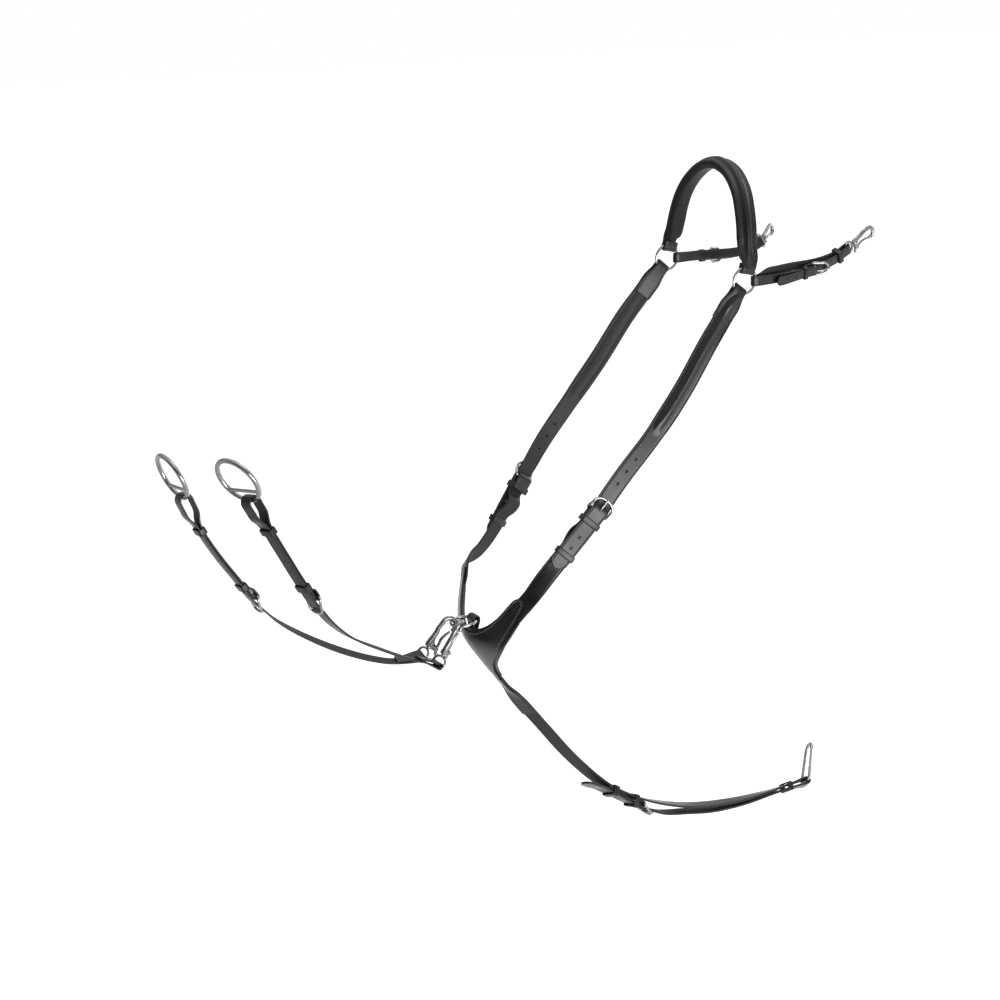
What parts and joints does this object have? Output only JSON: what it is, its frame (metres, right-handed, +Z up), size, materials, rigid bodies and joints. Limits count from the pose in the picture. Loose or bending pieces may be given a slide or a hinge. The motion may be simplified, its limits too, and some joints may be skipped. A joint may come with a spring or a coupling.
{
  "type": "martingale breastplate",
  "caption": "Leather breastplate with a padded withers strap, a stitched chest piece, buckled shoulder, saddle and girth straps, and a fork with snaps and rein rings.",
  "frame": {"origin": "under the crown of the withers pad, on the middle of its flat underside, where it rests on the horse", "axes": "+X back towards the saddle, +Y towards the horse's right side (the far side in the picture), +Z up"},
  "size_m": [0.9387, 0.2243, 0.9018],
  "materials": {
    "bridle_leather": "black bridle leather with a satin sheen",
    "patch_leather": "black leather overlay with a stitched edge",
    "soft_lining": "soft black padded lining, matt",
    "nickel_hardware": "bright nickel plate",
    "snap_metal": "bright nickel plate on cast snaps"
  },
  "bodies": {
    "withers": {"withers_strap": "bridle_leather", "withers_padding": "soft_lining"},
    "withers_ring_near": {"withers_ring_near": "nickel_hardware"},
    "saddle_strap_near": {"saddle_strap_near": "bridle_leather", "saddle_buckle_near": "nickel_hardware", "saddle_keeper_front_near": "bridle_leather", "saddle_keeper_rear_near": "bridle_leather"},
    "saddle_tongue_near": {"saddle_tongue_near": "nickel_hardware"},
    "saddle_snap_eye_near": {"saddle_snap_near_eye": "snap_metal"},
    "saddle_snap_hook_near": {"saddle_snap_near_hook": "snap_metal"},
    "saddle_snap_trigger_near": {"saddle_snap_near_trigger": "snap_metal"},
    "withers_ring_far": {"withers_ring_far": "nickel_hardware"},
    "saddle_strap_far": {"saddle_strap_far": "bridle_leather", "saddle_buckle_far": "nickel_hardware", "saddle_keeper_front_far": "bridle_leather", "saddle_keeper_rear_far": "bridle_leather"},
    "saddle_tongue_far": {"saddle_tongue_far": "nickel_hardware"},
    "saddle_snap_eye_far": {"saddle_snap_far_eye": "snap_metal"},
    "saddle_snap_hook_far": {"saddle_snap_far_hook": "snap_metal"},
    "saddle_snap_trigger_far": {"saddle_snap_far_trigger": "snap_metal"},
    "breast": {"chest_yoke": "bridle_leather", "chest_patch": "patch_leather", "chest_ring_loop": "bridle_leather", "shoulder_strap_near": "bridle_leather", "shoulder_chape_strap_near": "bridle_leather", "shoulder_buckle_near": "nickel_hardware", "shoulder_keeper_upper_near": "bridle_leather", "shoulder_keeper_lower_near": "bridle_leather", "shoulder_strap_far": "bridle_leather", "shoulder_chape_strap_far": "bridle_leather", "shoulder_buckle_far": "nickel_hardware", "shoulder_keeper_upper_far": "bridle_leather", "shoulder_keeper_lower_far": "bridle_leather", "girth_strap": "bridle_leather", "girth_buckle": "nickel_hardware", "girth_keeper_buckle": "bridle_leather", "girth_keeper_tip": "bridle_leather", "girth_keeper_snap": "bridle_leather"},
    "shoulder_tongue_near": {"shoulder_tongue_near": "nickel_hardware"},
    "shoulder_tongue_far": {"shoulder_tongue_far": "nickel_hardware"},
    "girth_tongue": {"girth_tongue": "nickel_hardware"},
    "girth_hook": {"girth_snap_hook": "snap_metal"},
    "girth_gate": {"girth_snap_gate": "snap_metal"},
    "chest_ring": {"chest_ring": "nickel_hardware"},
    "fork_hook_near": {"fork_snap_near_hook": "snap_metal"},
    "fork_trigger_near": {"fork_snap_near_trigger": "snap_metal"},
    "fork_eye_near": {"fork_snap_near_eye": "snap_metal"},
    "fork_near": {"fork_strap_near": "bridle_leather", "fork_buckle_near": "nickel_hardware", "fork_keeper_lower_near": "bridle_leather"},
    "fork_keeper_near": {"fork_keeper_upper_near": "bridle_leather"},
    "rein_ring_near": {"rein_ring_near": "nickel_hardware"},
    "fork_hook_far": {"fork_snap_far_hook": "snap_metal"},
    "fork_trigger_far": {"fork_snap_far_trigger": "snap_metal"},
    "fork_eye_far": {"fork_snap_far_eye": "snap_metal"},
    "fork_far": {"fork_strap_far": "bridle_leather", "fork_buckle_far": "nickel_hardware", "fork_keeper_lower_far": "bridle_leather"},
    "fork_keeper_far": {"fork_keeper_upper_far": "bridle_leather"},
    "rein_ring_far": {"rein_ring_far": "nickel_hardware"}
  },
  "joints": [
    {"name": "withers_ring_near_turn", "type": "hinge", "parent": "withers", "child": "withers_ring_near", "pos_m": [-0.017, -0.089, -0.127], "axis": [0, 1, 0], "continuous": true},
    {"name": "saddle_strap_near_swing", "type": "hinge", "parent": "withers", "child": "saddle_strap_near", "pos_m": [-0.017, -0.089, -0.127], "axis": [0, 1, 0], "range_deg": [-6, 45]},
    {"name": "saddle_tongue_near_lift", "type": "hinge", "parent": "saddle_strap_near", "child": "saddle_tongue_near", "pos_m": [0.08129, -0.09339, -0.12048], "axis": [0.181, 0.3839, -0.9055], "range_deg": [0, 14]},
    {"name": "saddle_snap_near_swing", "type": "hinge", "parent": "saddle_strap_near", "child": "saddle_snap_eye_near", "pos_m": [0.137, -0.092, -0.1], "axis": [0.4573, 0.2863, -0.842], "range_deg": [-40, 40]},
    {"name": "saddle_snap_near_swivel", "type": "hinge", "parent": "saddle_snap_eye_near", "child": "saddle_snap_hook_near", "pos_m": [0.137, -0.092, -0.1], "axis": [0.8796, -0.0061, 0.4756], "continuous": true},
    {"name": "saddle_snap_near_trigger", "type": "hinge", "parent": "saddle_snap_hook_near", "child": "saddle_snap_trigger_near", "pos_m": [0.15182, -0.09208, -0.09915], "axis": [0.0053, 1, 0.0029], "range_deg": [-16, 0], "stiffness_Nm_per_rad": 0.06, "springref_deg": 14.32},
    {"name": "withers_ring_far_turn", "type": "hinge", "parent": "withers", "child": "withers_ring_far", "pos_m": [-0.017, 0.089, -0.127], "axis": [0, 1, 0], "continuous": true},
    {"name": "saddle_strap_far_swing", "type": "hinge", "parent": "withers", "child": "saddle_strap_far", "pos_m": [-0.017, 0.089, -0.127], "axis": [0, 1, 0], "range_deg": [-6, 45]},
    {"name": "saddle_tongue_far_lift", "type": "hinge", "parent": "saddle_strap_far", "child": "saddle_tongue_far", "pos_m": [0.05465, 0.09266, -0.13085], "axis": [0.0227, 0.2362, 0.9714], "range_deg": [0, 14]},
    {"name": "saddle_snap_far_swing", "type": "hinge", "parent": "saddle_strap_far", "child": "saddle_snap_eye_far", "pos_m": [0.1325, 0.092, -0.1195], "axis": [-0.4356, 0.2427, 0.8668], "range_deg": [-40, 40]},
    {"name": "saddle_snap_far_swivel", "type": "hinge", "parent": "saddle_snap_eye_far", "child": "saddle_snap_hook_far", "pos_m": [0.1325, 0.092, -0.1195], "axis": [0.8031, 0.5397, 0.2524], "continuous": true},
    {"name": "saddle_snap_far_trigger", "type": "hinge", "parent": "saddle_snap_hook_far", "child": "saddle_snap_trigger_far", "pos_m": [0.14518, 0.09925, -0.12212], "axis": [-0.5149, 0.8418, -0.1618], "range_deg": [-16, 0], "stiffness_Nm_per_rad": 0.06, "springref_deg": 14.32},
    {"name": "breast_swing", "type": "hinge", "parent": "withers", "child": "breast", "pos_m": [-0.017, 0, -0.127], "axis": [0, 1, 0], "range_deg": [-20, 20]},
    {"name": "shoulder_tongue_near_lift", "type": "hinge", "parent": "breast", "child": "shoulder_tongue_near", "pos_m": [-0.23295, -0.09372, -0.39642], "axis": [0.7184, -0.2649, -0.6433], "range_deg": [0, 14]},
    {"name": "shoulder_tongue_far_lift", "type": "hinge", "parent": "breast", "child": "shoulder_tongue_far", "pos_m": [-0.2294, 0.09333, -0.39927], "axis": [-0.7929, -0.1166, 0.5981], "range_deg": [0, 14]},
    {"name": "girth_tongue_lift", "type": "hinge", "parent": "breast", "child": "girth_tongue", "pos_m": [-0.10226, -0.00131, -0.84735], "axis": [-0.0892, 0.9764, -0.1966], "range_deg": [0, 14]},
    {"name": "girth_snap_swing", "type": "hinge", "parent": "breast", "child": "girth_hook", "pos_m": [0.173, 0, -0.874], "axis": [0.0286, 0.7292, -0.6837], "range_deg": [-40, 40]},
    {"name": "girth_snap_gate_open", "type": "hinge", "parent": "girth_hook", "child": "girth_gate", "pos_m": [0.18035, 0.00065, -0.85662], "axis": [0.863, -0.3631, -0.3512], "range_deg": [-10, 0], "stiffness_Nm_per_rad": 0.06, "springref_deg": 14.32},
    {"name": "chest_ring_swing", "type": "hinge", "parent": "breast", "child": "chest_ring", "pos_m": [-0.35316, 0, -0.54184], "axis": [0, 1, 0], "range_deg": [-20, 20]},
    {"name": "fork_snap_near_swing", "type": "hinge", "parent": "chest_ring", "child": "fork_hook_near", "pos_m": [-0.37967, -0.01189, -0.5451], "axis": [-0.5231, 0.7604, 0.385], "range_deg": [-8, 15]},
    {"name": "fork_snap_near_trigger", "type": "hinge", "parent": "fork_hook_near", "child": "fork_trigger_near", "pos_m": [-0.39541, -0.00603, -0.57805], "axis": [-0.5231, 0.7604, 0.385], "range_deg": [-16, 0], "stiffness_Nm_per_rad": 0.06, "springref_deg": 14.32},
    {"name": "fork_snap_near_swivel", "type": "hinge", "parent": "fork_hook_near", "child": "fork_eye_near", "pos_m": [-0.41198, -0.01129, -0.59018], "axis": [0.5637, -0.0302, 0.8254], "range_deg": [-12, 25]},
    {"name": "fork_near_swing", "type": "hinge", "parent": "fork_eye_near", "child": "fork_near", "pos_m": [-0.41198, -0.01129, -0.59018], "axis": [0.1634, -0.9755, -0.1473], "range_deg": [-25, 25]},
    {"name": "fork_keeper_near_slide", "type": "slide", "parent": "fork_near", "child": "fork_keeper_near", "axis": [0.4921, 0.0542, -0.8688], "range_m": [0, 0.025]},
    {"name": "rein_ring_near_swing", "type": "hinge", "parent": "fork_near", "child": "rein_ring_near", "pos_m": [-0.68328, -0.07152, -0.32112], "axis": [0.3206, -0.9379, 0.1327], "range_deg": [-35, 35]},
    {"name": "fork_snap_far_swing", "type": "hinge", "parent": "chest_ring", "child": "fork_hook_far", "pos_m": [-0.38458, 0.00333, -0.5457], "axis": [0.241, 0.9684, 0.064], "range_deg": [-8, 15]},
    {"name": "fork_snap_far_trigger", "type": "hinge", "parent": "fork_hook_far", "child": "fork_trigger_far", "pos_m": [-0.40285, 0.00995, -0.57717], "axis": [0.241, 0.9684, 0.064], "range_deg": [-16, 0], "stiffness_Nm_per_rad": 0.06, "springref_deg": 14.32},
    {"name": "fork_snap_far_swivel", "type": "hinge", "parent": "fork_hook_far", "child": "fork_eye_far", "pos_m": [-0.42182, 0.0152, -0.58506], "axis": [0.6502, -0.2101, 0.7302], "range_deg": [-25, 25]},
    {"name": "fork_far_swing", "type": "hinge", "parent": "fork_eye_far", "child": "fork_far", "pos_m": [-0.42182, 0.0152, -0.58506], "axis": [-0.0642, -0.9728, -0.2227], "range_deg": [-25, 25]},
    {"name": "fork_keeper_far_slide", "type": "slide", "parent": "fork_far", "child": "fork_keeper_far", "axis": [0.4541, -0.0875, -0.8866], "range_m": [0, 0.016]},
    {"name": "rein_ring_far_swing", "type": "hinge", "parent": "fork_far", "child": "rein_ring_far", "pos_m": [-0.70802, 0.07452, -0.3524], "axis": [0.0445, -0.9937, 0.1027], "range_deg": [-35, 35]}
  ]
}
